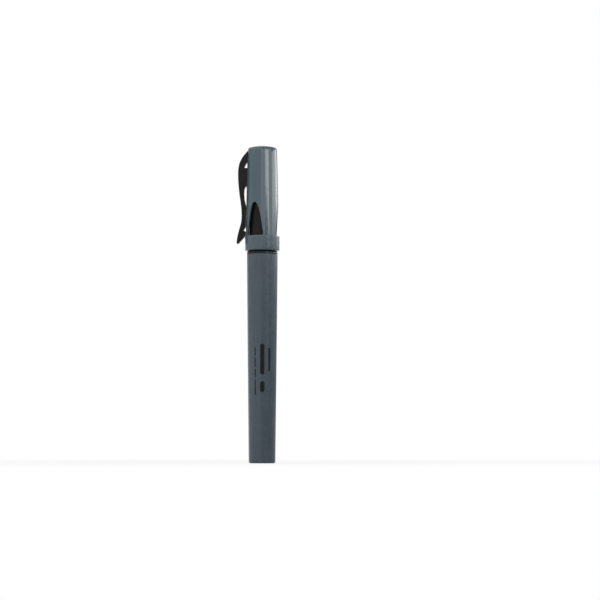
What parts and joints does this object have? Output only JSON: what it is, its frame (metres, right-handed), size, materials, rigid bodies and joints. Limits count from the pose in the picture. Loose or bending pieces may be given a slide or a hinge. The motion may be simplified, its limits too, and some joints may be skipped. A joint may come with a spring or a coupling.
{
  "type": "fine tip marker",
  "caption": "Slim round fine tip marker with a ribbed grip, a stepped nose and a slide-on cap with arched windows and a springy side clip.",
  "frame": {"origin": "centre of the barrel's flat end, on the pen's axis", "axes": "+Z along the pen's axis towards the cap's crown; the clip points towards -X"},
  "size_m": [0.0182, 0.0146, 0.1352],
  "materials": {
    "slate_plastic": "satin gloss moulded plastic",
    "black_plastic": "satin moulded plastic",
    "clip_plastic": "satin moulded plastic",
    "grip_rubber": "soft matte",
    "inked_fibre": "ground fibre, ink soaked",
    "reservoir_fibre": "ink-soaked fibre bundle",
    "film_plastic": "clear wrapping film",
    "seal_plastic": "moulded plastic"
  },
  "bodies": {
    "marker": {"barrel": "slate_plastic", "ink_reservoir": "reservoir_fibre", "reservoir_film": "film_plastic", "front_section": "black_plastic", "grip_sleeve": "grip_rubber", "nib_holder": "black_plastic", "fibre_nib": "inked_fibre"},
    "cap": {"cap_shell": "slate_plastic", "cap_seal": "seal_plastic", "clip_base": "clip_plastic"},
    "clip_spring": {"clip_arm": "clip_plastic"}
  },
  "joints": [
    {"name": "cap_slide", "type": "slide", "parent": "marker", "child": "cap", "axis": [0, 0, 1], "range_m": [0, 0.041]},
    {"name": "clip_flex", "type": "hinge", "parent": "cap", "child": "clip_spring", "pos_m": [-0.00882, 0, 0.11645], "axis": [0, 1, 0], "range_deg": [0, 6], "stiffness_Nm_per_rad": 0.2}
  ]
}
